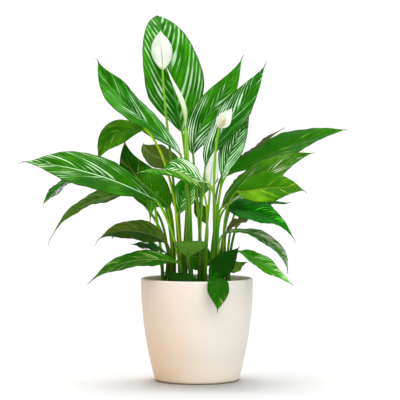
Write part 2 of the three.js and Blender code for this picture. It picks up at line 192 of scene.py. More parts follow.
def runTree(name, mesh, tree, values):
    # evaluates the tree on the mesh and keeps the result as a plain piece
    maker = keep(name + "Maker", mesh)
    modifier = maker.modifiers.new("shape", "NODES")
    modifier.node_group = tree
    sockets = {s.name: s.identifier for s in tree.interface.items_tree if s.in_out == "INPUT"}
    for label, value in values.items():
        modifier[sockets[label]] = value
    maker.update_tag()
    bpy.context.view_layer.update()
    graph = bpy.context.evaluated_depsgraph_get()
    result = bpy.data.meshes.new_from_object(maker.evaluated_get(graph), preserve_all_data_layers=True,
                                             depsgraph=graph)
    maker.modifiers.clear()
    bpy.data.objects.remove(maker)
    result.name = name
    return keep(name, result)


def outwards(piece):
    # a closed mesh whose volume is negative has its faces pointing in
    mesh = piece.data
    mesh.calc_loop_triangles()
    volume = 0
    for triangle in mesh.loop_triangles:
        a, b, c = (mesh.vertices[i].co for i in triangle.vertices)
        volume += a.dot(b.cross(c))
    if volume < 0:
        mesh.flip_normals()
    return piece


def ringMesh(name, start, rings, end, flipped=False):
    # a closed mesh from a first point over rings of points to a last point
    points = [start, *(p for ring in rings for p in ring), end]
    sides = len(rings[0])
    faces = []
    for k in range(sides):
        n = (k + 1) % sides
        faces.append((0, 1 + n, 1 + k))
        for a in range(1, 1 + (len(rings) - 1) * sides, sides):
            faces.append((a + k, a + n, a + sides + n, a + sides + k))
        a = 1 + (len(rings) - 1) * sides
        faces.append((a + k, a + n, len(points) - 1))
    if flipped:
        faces = [(first, *reversed(others)) for first, *others in faces]
    mesh = bpy.data.meshes.new(name)
    mesh.from_pydata([p * mm for p in points], [], faces)
    return mesh


def attach(piece, node):
    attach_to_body(piece, "root")
    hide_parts(node)


def newSkin(name):
    material = bpy.data.materials.new(name)
    material.use_nodes = True
    tree = material.node_tree
    where = give(tree, "ShaderNodeTexCoord", "Object")
    return material, tree, where


def finishSkin(material, looks):
    sockets = material.node_tree.nodes["Principled BSDF"].inputs
    for key, value in looks.items():
        plug(value, sockets[key])
    return material


def coloured(factor, low, high):
    node = add(factor.tree, "ShaderNodeMix", {"Factor": factor}, data_type="RGBA", clamp_factor=True)
    plug(low, pick(node.inputs, "A"))
    plug(high, pick(node.inputs, "B"))
    return field(pick(node.outputs, "Result"))


def layered(colour, *coats):  # each coat is where it lies and its colour
    for factor, other in coats:
        colour = coloured(factor, colour, other)
    return colour


def grain(where, size, detail=3.0, rough=0.5):
    return give(where.tree, "ShaderNodeTexNoise", "Fac",
                {"Vector": where, "Scale": size, "Detail": detail, "Roughness": rough})


def mark(tree, name, result="Fac"):
    return give(tree, "ShaderNodeAttribute", result, attribute_name=name)


def parts(vector):
    node = add(vector.tree, "ShaderNodeSeparateXYZ", {"Vector": vector})
    return [field(s) for s in node.outputs]


def raised(height, depth, strength):
    return give(height.tree, "ShaderNodeBump", "Normal",
                {"Height": height, "Distance": depth, "Strength": strength})


# The colours of a tone: two greens that run into each other, the painted sheen between two veins (a
# painted highlight), the lower face, and the two greens of the stalk.
leafLooks = {
    "bright": ((16, 94, 2), (66, 158, 16), (218, 246, 212), (104, 140, 62), (84, 158, 12), (160, 210, 70)),
    "mid": ((22, 84, 2), (62, 136, 12), (206, 238, 196), (92, 120, 52), (70, 142, 8), (142, 198, 56)),
    "dark": ((8, 60, 1), (34, 116, 6), (176, 214, 170), (60, 90, 36), (46, 112, 4), (104, 164, 34)),
    "olive": ((36, 62, 4), (92, 110, 38), (176, 190, 130), (98, 98, 50), (64, 104, 10), (112, 142, 40)),
    "young": ((34, 104, 2), (96, 168, 18), (206, 232, 150), (120, 156, 70), (124, 178, 40), (180, 214, 96)),
}

leafPlain = dict(tint=(1, 1, 1), rib=0.15, stem=0.5, slant=1.0, veins=0.125)

# A leaf's row gives its tone, where its stalk is rooted in the soil, the neck where its blade begins,
# two points a third and two thirds along the midrib, the tip, the width, and which way its width
# lies. What follows is where it differs: left and right are the painted sheen (painted highlight
# streaks) of its two halves at neck, third, two thirds and tip in hundredths, light is how pale the
# green is at the same places, left then right, partly the leaf's own tone and partly painted light and
# shade, dry is where the dried thread ends, seen from the tip, tint multiplies the colour, partly for
# the leaf's own colour and partly as painted light on leaves that sit in shade, rib is how pale the
# midrib is, stem how pale the stalk, slant how far the side veins lean towards the tip, and veins the
# distance between them as a share of the width.
leafTable = {
    "top": ("bright", (-10, 42), (-27, 78, 442), (-42, 84, 515), (-58, 88, 598), (-75, 150, 658), 118,
      (0.93, 0.36, 0.2), dict(fold=25, point=0.9, dry=(3, 8, -4), slant=1.5, veins=0.15,
      left=(50, 50, 40, 35), right=(40, 45, 45, 35), light=(50, 50, 60, 60, 50, 50, 60, 50))),
    "left_high": ("bright", (-20, 16), (-30, 26, 402), (-81, 25, 450), (-141, 21, 506), (-177, 16, 570), 55,
      (0.525, 0.69, 0.5), dict(twist=-17, broadest=0.66, shoulder=0.7, dry=(-11, 0, 4), slant=2.4,
      veins=0.15, left=(80, 45, 15, 20), right=(100, 50, 12, 25), light=(40, 50, 65, 60, 40, 50, 50, 50))),
    "left_arched": ("mid", (-28, 2), (-92, -6, 447), (-130, -22, 445), (-157, -32, 427), (-176, -38, 386),
      45, (0.1, 0.3, 0.95), dict(fold=16, broadest=0.5, dry=(-2, 0, -6), tint=(1.5, 1.03, 0.3), rib=0.0,
      stem=0.9, slant=2, left=(10, 12, 20, 30), right=(10, 10, 15, 20),
      light=(40, 40, 50, 60, 40, 40, 40, 50))),
    "left_long": ("mid", (-28, -22), (-70, -34, 319), (-142, -66, 355), (-221, -82, 379), (-301, -84, 390),
      76, (0.15, 0.6, 0.75), dict(broadest=0.54, stalk=1.6, dry=(-9, 0, -4), tint=(1.05, 1.1, 1), rib=1.0,
      stem=0.9, slant=2.2, left=(10, 25, 35, 40), right=(15, 35, 50, 45))),
    "left_far": ("dark", (-46, 50), (-205, 66, 373), (-229, 68, 357), (-254, 66, 337), (-278, 62, 313), 34,
      (0, 0.8, 0.6), dict(broadest=0.62, point=0.7, rise=0.7, dry=(-1, 0, -6), tint=(2.9, 1.45, 3.5),
      left=(50,) * 4, right=(30,) * 4)),
    "left_hanging": ("olive", (-50, 4), (-112, -8, 332), (-162, -8, 326), (-215, -8, 304), (-262, -8, 250),
      46, (0, 0.85, 0.5), dict(rise=0.85, dry=(-3, 0, -10), tint=(0.7, 1.1, 0.4), rib=0.3,
      left=(20, 30, 20, 20), light=(30, 60, 70, 80) * 2)),
    "left_dark": ("dark", (-41, 22), (-50, 19, 305), (-77, 17, 333), (-112, 15, 367), (-129, 13, 424), 70,
      (0.75, 0.35, 0.55), dict(broadest=0.46, point=0.9, stalk=2, dry=(0, 0, 4), tint=(2.3, 1.25, 0.8),
      stem=0.9, light=(110, 100, 35, 30) * 2)),
    "left_olive": ("olive", (-26, 56), (-31, 70, 379), (-58, 74, 391), (-83, 78, 402), (-98, 80, 420), 50,
      (-0.5, 0.5, -0.75), dict(broadest=0.5, shoulder=0.6, point=0.7, dry=(9, 0, 7), tint=(1.2, 1.6, 1.1),
      rib=0.3, left=(40, 60, 50, 20), light=(90, 80, 70, 70, 90, 90, 80, 80))),
    "centre_upper": ("bright", (26, -22), (20, -20, 351), (-5, -16, 363), (-32, -14, 377), (-61, -16, 376),
      44, (0.35, 0.5, 0.8), dict(broadest=0.6, shoulder=1.7, dry=(-3, 0, -2), tint=(1.2, 1.15, 1.1),
      slant=1.6, veins=0.17, left=(60, 85, 80, 50), right=(80, 90, 80, 30))),
    "centre_lower": ("bright", (15, -37), (11, -42, 337), (-21, -56, 357), (-66, -64, 370),
      (-109, -66, 369), 46, (0.1, 1, 0.25), dict(dry=(-4, 0, -1), tint=(0.8, 0.88, 0.3), slant=1.6,
      veins=0.2, left=(40, 20, 10, 50), right=(40, 50, 40, 50), light=(50, 50, 50, 80, 40, 40, 50, 90))),
    "right_peak": ("bright", (8, 32), (-7, 48, 401), (8, 49, 454), (46, 48, 511), (81, 42, 575), 66,
      (0.85, 0.2, -0.4), dict(dry=(4, 0, 7), slant=2.4, veins=0.15, left=(85, 75, 40, 25),
      right=(50, 45, 40, 30), light=(10, 40, 60, 60) * 2)),
    "right_bright": ("bright", (4, 10), (15, 23, 379), (40, 24, 433), (80, 17, 491), (121, 4, 561), 64,
      (0.5, -0.75, -0.42), dict(twist=24, broadest=0.56, dry=(3, 0, 7), slant=2.4, veins=0.15,
      left=(90, 85, 65, 60), right=(45, 25, 30, 65), light=(0, 15, 45, 60) * 2)),
    "right_inner": ("mid", (24, 22), (45, 28, 360), (57, 30, 401), (76, 30, 440), (95, 28, 478), 42,
      (0.9, 0.1, -0.35), dict(dry=(3, 0, 5), tint=(0.9, 1.15, 0.9), slant=2.2, veins=0.18,
      left=(90, 85, 65, 40), light=(10, 30, 50, 60) * 2)),
    "right_long": ("mid", (40, 6), (52, 4, 364), (116, -2, 396), (189, -10, 427), (264, -14, 446), 68,
      (0.2, -0.8, -0.55), dict(broadest=0.52, dry=(8, 0, -8), tint=(1.25, 1.25, 0.3), rib=0.05, slant=3,
      left=(5, 10, 15, 10), light=(20, 30, 40, 50, 20, 20, 40, 50))),
    "right_under": ("mid", (40, -26), (43, -34, 308), (90, -40, 344), (146, -48, 382), (203, -51, 405), 62,
      (0.3, -0.6, -0.7), dict(dry=(5, 0, 0), tint=(1.4, 1, 1.2), rib=0.1, slant=2.8, left=(10, 25, 25, 20),
      right=(15, 35, 35, 30), light=(40, 50, 60, 60) * 2)),
    "right_strip": ("olive", (36, 40), (53, 56, 373), (84, 62, 388), (118, 66, 419), (158, 68, 449), 44,
      (-0.15, -0.95, 0.27), dict(dry=(3, 0, 2))),
    "right_young": ("young", (46, -66), (69, -106, 339), (101, -112, 342), (143, -116, 346),
      (185, -116, 340), 62, (0, -0.5, -0.85), dict(broadest=0.48, dry=(5, 0, -5), tint=(1.55, 1.1, 0.5),
      stem=0.1, left=(10, 10, 10, 20), right=(10, 15, 20, 25), light=(35, 35, 35, 40, 60, 55, 35, 30))),
    "right_dark": ("dark", (40, -54), (50, -75, 309), (88, -86, 305), (129, -88, 293), (168, -86, 257), 62,
      (0, -0.75, -0.65), dict(dry=(3, 0, -9), tint=(0.25, 1.25, 0.06), rib=0.05, left=(10, 10, 70, 20),
      right=(0, 0, 10, 40), light=(20, 50, 75, 70) * 2)),
    "right_small": ("mid", (53, 8), (77, 20, 318), (106, 24, 323), (136, 26, 315), (167, 26, 316), 38,
      (0, -0.9, -0.3), dict(dry=(3, 0, 0))),
    "right_drooping": ("bright", (37, -66), (42, -88, 260), (82, -94, 269), (131, -102, 248),
      (157, -104, 201), 23, (0, -0.95, -0.3), dict(twist=55, broadest=0.66, dry=(0, 0, -6),
      tint=(0.9, 0.65, 0.8), left=(10, 30, 70, 70), right=(10, 20, 40, 50))),
    "right_olive": ("olive", (54, -12), (52, -22, 264), (68, -28, 278), (84, -30, 286), (98, -30, 294), 30,
      (0, -0.8, 0.5), dict(dry=(3, 0, 1), rib=0.1)),
    "low_right": ("mid", (54, -44), (73, -66, 233), (104, -70, 218), (136, -74, 197), (166, -76, 176), 34,
      (0, -0.65, -0.75), dict(dry=(-8, 0, -17), tint=(1.2, 1.5, 0.8), left=(30, 50, 50, 60),
      right=(20, 20, 20, 50), light=(70,) * 8)),
    "low_dark": ("dark", (12, -72), (23, -77, 185), (38, -81, 203), (56, -84, 222), (73, -84, 241), 40,
      (0.76, -0.1, -0.65), dict(fold=14, dry=(2, 0, 2), tint=(0.75, 0.9, 1.2), rib=0.0, left=(0, 0, 0, 10),
      light=(90, 30, 15, 30) * 2)),
    "low_olive": ("olive", (60, -20), (58, -24, 194), (67, -28, 200), (77, -31, 206), (88, -33, 212), 24,
      (0.3, -0.7, -0.65), dict(dry=(2, 0, 0), tint=(3.2, 4, 3.5), rib=0.1)),
    "front_rim": ("mid", (29, -78), (34, -84, 180), (35, -103, 185), (37, -118, 165), (35, -124, 134), 38,
      (-1, 0, 0), dict(fold=14, broadest=0.6, dry=(0, 0, -4), tint=(0.9, 1, 0.4), rib=0.02,
      left=(10, 10, 10, 30), right=(10, 10, 15, 20), light=(20, 20, 30, 60, 20, 20, 30, 50))),
    "left_brown": ("olive", (-42, -30), (-52, -44, 244), (-87, -50, 263), (-132, -54, 268),
      (-173, -54, 253), 48, (0, 0.65, 0.75), dict(dry=(-6, 0, -12), tint=(0.7, 0.75, 0.6), rib=0.3,
      right=(30, 20, 20, 20), light=(0, 0, 10, 30, 60, 60, 70, 80))),
    "left_shade": ("dark", (-56, -12), (-57, -18, 229), (-77, -20, 235), (-97, -22, 240), (-118, -22, 243),
      31, (0, 0.9, 0.4), dict(dry=(-2, 0, 0))),
    "low_left": ("mid", (-30, -52), (-30, -64, 212), (-78, -72, 219), (-134, -76, 211), (-189, -76, 178),
      42, (0, 0.75, 0.65), dict(broadest=0.5, dry=(-3, 0, -3), tint=(1.1, 1, 0.5), rib=0.2, slant=1.6,
      left=(15, 15, 15, 30), right=(20, 25, 25, 30), light=(20, 20, 20, 40, 40, 30, 30, 50))),
    "low_front": ("dark", (4, -66), (6, -68, 177), (-13, -74, 182), (-38, -71, 188), (-61, -63, 198), 25,
      (0, 0.6, 0.8), dict(dry=(-2, 0, -1), tint=(0.8, 0.8, 0.4), rib=0.02, light=(0,) * 8)),
    # its blue-grey tint and high light paint the grey sheen of light on its upper face
    "front_grey": ("mid", (-10, -48), (-16, -60, 220), (-14, -62, 236), (-12, -54, 248), (-10, -28, 246),
      60, (1, 0, 0), dict(fold=10, broadest=0.6, shoulder=1.3, dry=(0, 2, 0), tint=(1.4, 0.75, 4.2),
      rib=0.0, light=(80,) * 8)),
    # its strong tint and high light paint light onto a leaf that sits in shade
    "stem_grey": ("dark", (-27, 34), (-32, 33, 294), (-27, 33, 321), (-19, 32, 347), (-14, 32, 383), 46,
      (1, 0.1, 0.2), dict(dry=(1, 0, 3), tint=(2.1, 2, 1.8), slant=1.5, veins=0.17, left=(70, 60, 50, 70),
      right=(50,) * 4, light=(80,) * 8)),
    "stem_brown": ("olive", (12, 54), (18, 62, 275), (10, 66, 292), (2, 70, 306), (-6, 72, 322), 26,
      (-0.85, 0.1, -0.5), dict(dry=(0, 0, 2), tint=(0.9, 1.6, 0.4))),
    "stem_small": ("mid", (-61, -3), (-76, -10, 320), (-79, -12, 333), (-81, -20, 318), (-83, -26, 284), 26,
      (-1, 0, 0), dict(wave=1, dry=(0, 0, -3), tint=(2.2, 1.9, 1.5))),
    "back_right": ("mid", (40, 58), (70, 96, 330), (100, 140, 352), (130, 182, 360), (160, 220, 345), 70,
      (0.8, -0.6, 0), dict(left=(20,) * 4)),
    "back_middle": ("mid", (4, 86), (6, 124, 320), (8, 160, 345), (12, 200, 355), (18, 240, 338), 64,
      (1, 0, 0), dict(left=(20,) * 4)),
    "back_left": ("mid", (-43, 77), (-66, 112, 330), (-96, 150, 352), (-130, 186, 358), (-166, 220, 340),
      70, (0.75, 0.65, 0), dict(left=(20,) * 4)),
    "back_low_right": ("dark", (56, 36), (76, 66, 280), (104, 96, 296), (130, 124, 296), (152, 150, 272),
      50, (0.7, -0.7, 0), dict(left=(20,) * 4)),
    "back_low_left": ("dark", (-60, 36), (-84, 66, 250), (-112, 96, 262), (-138, 124, 262),
      (-158, 150, 244), 50, (0.7, 0.7, 0), dict(left=(20,) * 4)),
    "back_low_middle": ("dark", (33, 70), (28, 74, 200), (8, 75, 213), (-14, 75, 215), (-36, 74, 208), 50,
      (0, 0, 1), dict(wave=1, tint=(4.6, 3, 0.9), left=(20,) * 4)),
}

bladeForm = {
    "step": 1.9,  # between the points of a midrib
    "across": 2.1,  # between the points from rib to edge
    "thick": 0.75,
    "ribThick": 2.4,  # at the neck
    "ribHalf": 1.7,
    "tipHalf": 0.85,
    "tipThick": 0.8,
    "tipRib": 0.7,
    "fold": 22,
    "curl": -24,
    "neckFold": 20,  # more than fold, at the neck
    "wave": 2.2,
    "ripple": 0.5,  # small waves on the edge
    "shoulder": 0.85,
    "point": 1.25,
    "relief": 0.42,
    "closestVeins": 2.6,  # least distance between side veins
}
stalkForm = {
    "step": 7,
    "bend": 0.22,  # share of a stalk's length that turns into the blade
    "collar": 1,
    "sunk": 11.7,  # length in the soil
    "neckHalf": 2.1,
    "neckThick": 3.2,
    "rootHalf": 3.9,
    "rootThick": 5,
    "fold": 12,
}
threadForm = {"steps": 8, "baseHalf": 0.8, "endHalf": 0.45, "thick": 0.7, "lift": 0.6}


def through(start, low, high, end):
    # the cubic that passes low and high at a third and two thirds of its run
    start, low, high, end = (Vector(p) for p in (start, low, high, end))
    early = (start * -5 + low * 18 - high * 9 + end * 2) / 6
    late = (start * 2 - low * 9 + high * 18 - end * 5) / 6
    return start, early, late, end


def onCubic(curve, t):
    a, b, c, d = curve
    s = 1 - t
    place = a * s ** 3 + b * (3 * s * s * t) + c * (3 * s * t * t) + d * t ** 3
    heading = (b - a) * (s * s) + (c - b) * (2 * s * t) + (d - c) * (t * t)
    return place, heading.normalized()


def lengthOf(curve):
    spots = [onCubic(curve, i / 24)[0] for i in range(25)]
    return sum((b - a).length for a, b in zip(spots, spots[1:]))


def walk(curve, shares):
    # share, place, heading and distance covered at each share of the curve
    distance = 0
    last = curve[0]
    for t in shares:
        place, heading = onCubic(curve, t)
        distance += (place - last).length
        last = place
        yield t, place, heading, distance


def outline(t, broadest, shoulder=bladeForm["shoulder"], point=bladeForm["point"]):
    # half width as a share of the widest: shoulder under 1 rounds the base, point over 1 draws out the tip
    if t < broadest:
        return sin(pi / 2 * t / broadest) ** shoulder
    return max(cos(pi / 2 * (t - broadest) / (1 - broadest)), 0) ** point


def mix(a, b, t):
    return a + (b - a) * t


def between(values, t):
    # the value at t where values are spread evenly from 0 to 1
    at = t * (len(values) - 1)
    i = min(int(at), len(values) - 2)
    return mix(values[i], values[i + 1], at - i)


def stalkCurve(root, end, heading, rise):
    collar = Vector((*root, soilTop + stalkForm["collar"]))
    reach = end - collar
    arrival = (reach.normalized() + heading).normalized()
    early = collar + up * (rise * reach.z)
    late = end - arrival * (stalkForm["bend"] * reach.length)
    return collar, early, late, end


lengthFields = ("half", "thick", "ribThick", "ribHalf", "waveLeft", "waveRight", "distance")
shareFields = ("fold", "curl", "roundness", "shineLeft", "shineRight", "lightLeft", "lightRight",
               "along", "blade")
vectorFields = ("side", "face")


def spineMesh(name, rows):
    # one vertex a row, with the row's values as attributes, lengths in metres
    mesh = bpy.data.meshes.new(name + "Spine")
    mesh.from_pydata([row["place"] * mm for row in rows], [], [])
    for key in lengthFields + shareFields:
        size = mm if key in lengthFields else 1
        layer = mesh.attributes.new(key, "FLOAT", "POINT")
        layer.data.foreach_set("value", [row[key] * size for row in rows])
    for key in vectorFields:
        layer = mesh.attributes.new(key, "FLOAT_VECTOR", "POINT")
        layer.data.foreach_set("vector", [c for row in rows for c in row[key]])
    return mesh


def row(place, heading, across, turn=0.0, **values):
    side = (across - heading * across.dot(heading)).normalized()
    side = Matrix.Rotation(turn, 3, heading) @ side
    base = dict(place=place, side=side, face=side.cross(heading), waveLeft=0, waveRight=0,
                shineLeft=0, shineRight=0, lightLeft=0.5, lightRight=0.5, distance=0, blade=0)
    return {**base, **values}


def stalkRows(curve, across, half, thick):
    # half and thick give the size at a share of the stalk's length
    collar = curve[0]
    steps = max(round(lengthOf(curve) / stalkForm["step"]), 6)
    shape = dict(fold=radians(stalkForm["fold"]), curl=-0.05, roundness=2, ribHalf=8)
    foot = collar - up * (stalkForm["sunk"] + stalkForm["collar"])
    rows = []
    for share in (0, 0.02, 0.5):
        size = 0 if share == 0 else 1
        rows.append(row(mix(foot, collar, share), up, across, half=half(0) * size, along=-1,
                        thick=thick(0) * size, ribThick=thick(0) * size, **shape))
    for i in range(steps):
        s = i / steps
        place, heading = onCubic(curve, s)
        rows.append(row(place, heading, across, half=half(s), along=s - 1, thick=thick(s),
                        ribThick=thick(s), **shape))
    return rows


def leafRows(root, neck, low, high, tip, width, across, seed, twist=0, fold=bladeForm["fold"],
             wave=bladeForm["wave"], broadest=0.42, stalk=1, rise=0.4, shoulder=bladeForm["shoulder"],
             point=bladeForm["point"], left=(10,) * 4, right=None, light=(50,) * 8, dry=(0, 0, 3)):
    random.seed(seed)
    left, right, light = ([v / 100 for v in shares] for shares in (left, right or left, light))
    blade = through(neck, low, high, tip)
    across = Vector(across)
    stem = stalkCurve(root, blade[0], onCubic(blade, 0)[1], rise)
    neckHalf = stalk * stalkForm["neckHalf"]
    neckThick = stalkForm["neckThick"]
    rows = stalkRows(stem, across, half=lambda s: mix(stalkForm["rootHalf"], neckHalf, sqrt(s)),
                     thick=lambda s: mix(stalkForm["rootThick"], neckThick, s))
    steps = round(lengthOf(blade) / bladeForm["step"])
    phase = random.uniform(0, 6)
    for t, place, heading, distance in walk(blade, (i / steps for i in range(steps + 1))):
        swell = wave * sin(pi * t)
        ripple = bladeForm["ripple"] * sin(pi * t)
        turns = 5 * pi * t
        opened = min(t * 12, 1)  # from the stalk's round section to the flat blade
        bladeFold = fold + bladeForm["neckFold"] * max(1 - 3 * t, 0)
        ribThick = mix(bladeForm["ribThick"], bladeForm["tipThick"], t ** 0.6)
        rows.append(row(
            place, heading, across, radians(twist) * t,
            half=max(width / 2 * outline(t, broadest, shoulder, point),
                     mix(neckHalf, bladeForm["tipHalf"], t)),
            fold=radians(mix(stalkForm["fold"], bladeFold, opened)),
            curl=radians(mix(-3, bladeForm["curl"], opened)),
            thick=mix(neckThick, bladeForm["thick"], opened ** 0.5),
            ribThick=mix(neckThick, ribThick, opened ** 0.5),
            ribHalf=mix(bladeForm["ribHalf"], bladeForm["tipRib"], t),
            roundness=mix(2, 8, opened),
            waveLeft=swell * sin(turns) + ripple * sin(3.7 * turns + phase),
            waveRight=swell * sin(turns + 2) + ripple * sin(4.1 * turns + 2 * phase),
            shineLeft=between(left, t), shineRight=between(right, t),
            lightLeft=between(light[:4], t), lightRight=between(light[4:], t),
            along=t, distance=distance, blade=opened))
    # the dried thread
    end, heading = onCubic(blade, 1)
    droop = Vector(dry)
    for i in range(1, threadForm["steps"] + 1):
        w = i / threadForm["steps"]
        place = end + heading * (droop.length * w * (1 - w) * threadForm["lift"]) + droop * w * w
        size = 0 if w == 1 else 1
        thick = threadForm["thick"] * size
        rows.append(row(
            place, heading, across, radians(twist), fold=0.2, curl=-0.05, thick=thick, ribThick=thick,
            half=mix(threadForm["baseHalf"], threadForm["endHalf"], w) * size, ribHalf=0.5, roundness=2,
            along=1 + 0.05 * w, distance=distance, blade=0))
    return rows


def countOf(spine):
    return spine.then("AttributeDomainSize", result="Point Count", component="MESH")


def gridOn(spine, around):
    # a grid with a row for each point of the spine, which of its rows a point is on, and its number
    # in that row
    grid = form(spine.tree, "MeshGrid", {"Vertices X": countOf(spine), "Vertices Y": around + 1}, "Mesh")
    index = form(spine.tree, "InputIndex", result="Index")
    line = (index / (around + 1)).math("FLOOR")
    return grid, line, index - line * (around + 1)


def readSpine(spine, name, line):
    # a value of the spine's row; its place where no name is given
    tree = spine.tree
    kind = "FLOAT" if name in lengthFields + shareFields else "FLOAT_VECTOR"
    if name:
        value = form(tree, "InputNamedAttribute", {"Name": name}, "Attribute", data_type=kind)
    else:
        value = form(tree, "InputPosition", result="Position")
    return spine.then("SampleIndex", {"Value": value, "Index": line}, result="Value",
                      data_type=kind, domain="POINT")


def makeBladeTree():
    # lays a closed skin round a spine: its upper face out from rib to edge and its lower face back
    tree, given = shapeTree("bladeOnSpine", {
        "Points Round": 48, "Vein Distance": 0.006, "Relief": 0.0004, "Slant": 1.0, "Rib": 0.2,
        "Stem": 0.5, "Tint": (1, 1, 1), "Seed": 0.0, "Material": None})
    spine = given["Geometry"]
    around = given["Points Round"]
    grid, line, column = gridOn(spine, around)
    half, fold, curl, distance, blade, thick, side, face, place = (
        readSpine(spine, name, line)
        for name in ("half", "fold", "curl", "distance", "blade", "thick", "side", "face", None))

    share = column / around  # once round the section
    reach = 1 - abs(share * 4 - 2)  # -1 at the left edge, 0 on the rib, 1 at the right edge
    span = abs(reach)
    hand = reach.math("SIGN")
    upper = 1 - share.math("GREATER_THAN", 0.5) * 2
    lean = fold + curl * span
    out = half * (lean.math("SINE") - fold.math("SINE")) / curl
    rise = half * (fold.math("COSINE") - lean.math("COSINE")) / curl

    right = hand.math("GREATER_THAN", 0)
    # shine carries the painted sheen of each half; light its paleness, partly own tone and partly painted
    # light and shade
    wave, shine, light = (right.blend(readSpine(spine, name + "Left", line),
                                      readSpine(spine, name + "Right", line))
                          for name in ("wave", "shine", "light"))
    # side veins lean towards the tip, and those of the two halves don't meet
    gap = half * span
    vein = (distance - gap * (span * 0.75 + 0.85) * given["Slant"]) / given["Vein Distance"] + right * 0.37
    swell = abs((vein * pi).math("SINE")) - 0.6
    fade = span.ramp(0.02, 0.16) * (1 - span.ramp(0.86, 1)) * blade * (half / 0.014).math("MINIMUM", 1)
    wander = vectorOf(distance * 38, reach * half * 52, given["Seed"])
    crinkle = (grain(wander, 1.0, 2.0) - 0.5) * blade * (half / 0.02).math("MINIMUM", 1)
    height = rise + wave * span * span + swell * fade * given["Relief"] + crinkle * 0.0022

    edge = (1 - span ** readSpine(spine, "roundness", line)).math("MAXIMUM", 0).math("SQRT")
    keel = (-(gap / readSpine(spine, "ribHalf", line)) ** 2).math("EXPONENT")
    above = thick * 0.5 - keel * blade * 0.00045 * (half / 0.01).math("MINIMUM", 1)
    below = -(thick * 0.5 + (readSpine(spine, "ribThick", line) - thick) * keel)
    depth = upper.ramp(-1, 1, smooth=False).blend(below, above) * edge

    sideways = hand * (out - lean.math("SINE") * depth)
    raisedBy = height + lean.math("COSINE") * depth
    spot = summed(place, scaled(side, sideways), scaled(face, raisedBy))
    skin = grid.then("SetPosition", {"Position": spot})

    along = readSpine(spine, "along", line)
    for name, value in {"bladeAt": vectorOf(along, reach, gap), "tint": given["Tint"]}.items():
        skin = stored(skin, name, value, "FLOAT_VECTOR")
    for name, value in {"vein": vein, "underside": upper * -0.5 + 0.5, "sheen": shine, "light": light,
                        "ribTone": given["Rib"] + 0, "stemTone": given["Stem"] + 0}.items():
        skin = stored(skin, name, value)
    layout = vectorOf(distance * 4 + share * 0, reach * 0.5 + 0.5, 0)
    skin = stored(skin, "UVMap", layout, "FLOAT2", "CORNER")
    skin = skin.then("MergeByDistance", {"Distance": 2e-6}).then("SetShadeSmooth")
    return closeTree(skin, given["Material"])


